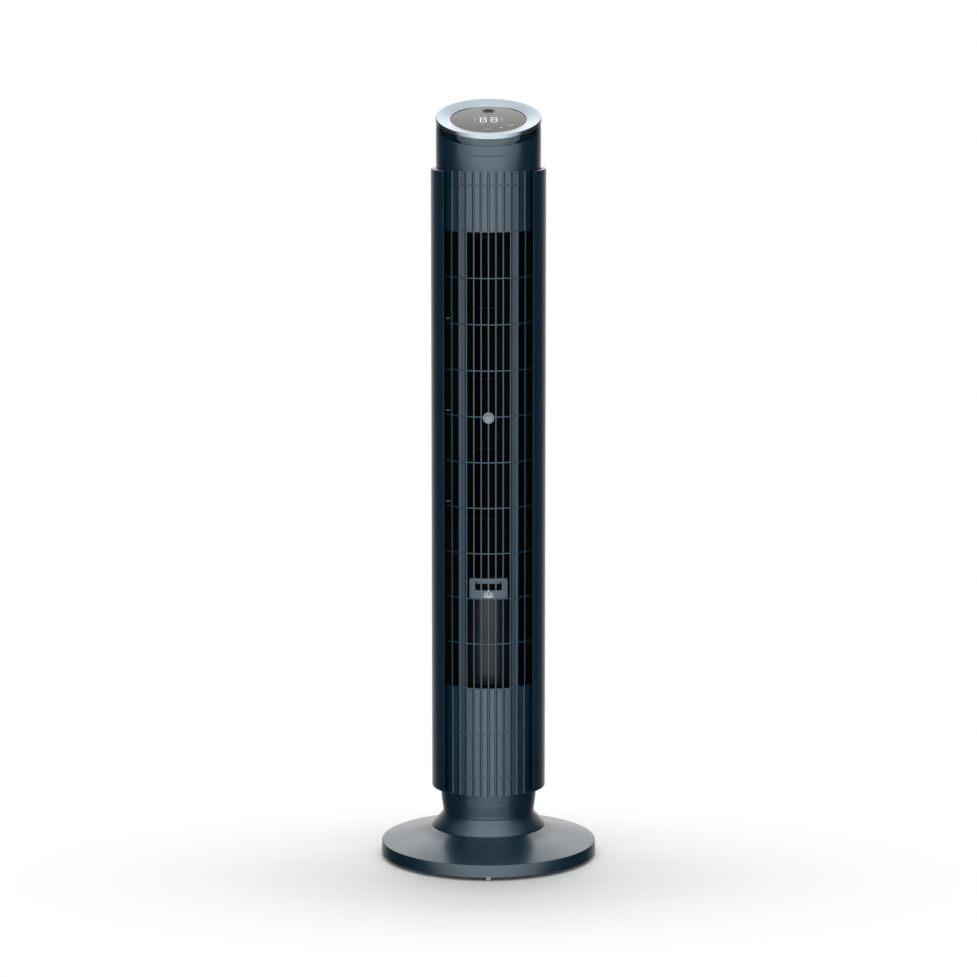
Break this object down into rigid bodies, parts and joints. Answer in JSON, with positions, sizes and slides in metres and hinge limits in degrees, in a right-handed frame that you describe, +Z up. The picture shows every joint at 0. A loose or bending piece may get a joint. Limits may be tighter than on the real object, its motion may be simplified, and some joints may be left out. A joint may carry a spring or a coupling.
{
  "type": "tower fan",
  "caption": "Slim upright oscillating fan: ribbed half-round grilles, curved side shells, sloping control head, motor-driven drum impeller, and a round weighted base.",
  "frame": {"origin": "on the floor, at the middle of the round base, on the axis that the tower turns about", "axes": "+Z up along the tower, -Y towards the front grille, +X to the right as seen from the front"},
  "size_m": [0.2928, 0.2928, 1.0248],
  "materials": {
    "petrol_plastic": "moulded ABS, semi-gloss petrol blue-grey",
    "black_plastic": "moulded black plastic, satin",
    "component_black": "black electronic component bodies",
    "cable_pvc": "black PVC sleeve",
    "smoked_plastic": "polished smoked plastic",
    "panel_plastic": "grey-bronze gloss panel",
    "badge_metal": "turned and satin aluminium",
    "rubber": "matt black rubber",
    "plated_steel": "zinc-plated steel",
    "ballast_steel": "plain cast weight",
    "sintered_bronze": "oiled sintered bronze",
    "motor_winding": "laminations and enamelled copper",
    "acetal": "white acetal gear",
    "board": "green solder mask",
    "felt": "pressed charcoal felt",
    "ring_lacquer": "moulded ring with a pale blue-grey metallic lacquer"
  },
  "bodies": {
    "base": {"base_disc": "petrol_plastic", "base_collar": "petrol_plastic", "base_plate": "black_plastic", "ballast_ring": "ballast_steel", "foot_1": "rubber", "foot_2": "rubber", "foot_3": "rubber", "foot_4": "rubber", "foot_5": "rubber", "cable_gland": "black_plastic", "pivot_post": "plated_steel", "sun_gear": "acetal", "thrust_ring": "sintered_bronze", "retaining_washer": "plated_steel", "retaining_nut": "plated_steel"},
    "tower": {"neck": "petrol_plastic", "turntable": "black_plastic", "swing_motor": "plated_steel", "lower_deck": "black_plastic", "upper_deck": "black_plastic", "bearing_holder": "rubber", "bearing_bush": "sintered_bronze", "scroll_panel": "black_plastic", "stabiliser_panel": "black_plastic", "side_baffle": "black_plastic", "motor_deck": "black_plastic", "motor_shroud": "petrol_plastic", "motor_housing": "plated_steel", "motor_stator": "motor_winding", "front_grille": "petrol_plastic", "rear_grille": "petrol_plastic", "left_shell": "petrol_plastic", "right_shell": "petrol_plastic", "grille_badge": "badge_metal", "head_housing": "petrol_plastic", "smoked_band": "smoked_plastic", "trim_ring": "ring_lacquer", "control_panel": "panel_plastic", "circuit_board": "board", "display_module": "component_black", "tact_switch": "component_black", "ir_receiver": "component_black", "power_board": "board", "wiring_loom": "cable_pvc"},
    "impeller": {"motor_rotor": "plated_steel", "motor_shaft": "plated_steel", "impeller_drum_1": "black_plastic", "impeller_drum_2": "black_plastic", "impeller_drum_3": "black_plastic", "impeller_drum_4": "black_plastic", "impeller_drum_5": "black_plastic", "impeller_cap": "black_plastic"},
    "drive_pinion": {"pinion": "acetal"},
    "button": {"power_button": "panel_plastic"},
    "drawer": {"aroma_tray": "petrol_plastic", "aroma_pad": "felt"}
  },
  "joints": [
    {"name": "oscillation", "type": "hinge", "parent": "base", "child": "tower", "pos_m": [0, 0, 0.0635], "axis": [0, 0, 1], "range_deg": [-40, 40]},
    {"name": "pinion_spin", "type": "hinge", "parent": "tower", "child": "drive_pinion", "pos_m": [0, 0.04, 0.0495], "axis": [0, 0, 1], "range_deg": [-120, 120]},
    {"name": "impeller_spin", "type": "hinge", "parent": "tower", "child": "impeller", "pos_m": [0, 0.006, 0.6], "axis": [0, 0, 1], "continuous": true},
    {"name": "power_button_press", "type": "slide", "parent": "tower", "child": "button", "axis": [0, 0.2756, -0.9613], "range_m": [0, 0.001], "stiffness_N_per_m": 500, "springref_m": -0.001},
    {"name": "drawer_slide", "type": "slide", "parent": "tower", "child": "drawer", "axis": [0, -1, 0], "range_m": [0, 0.022]}
  ],
  "couplings": [
    {"joint": "pinion_spin", "follows": "oscillation", "ratio": 3}
  ]
}
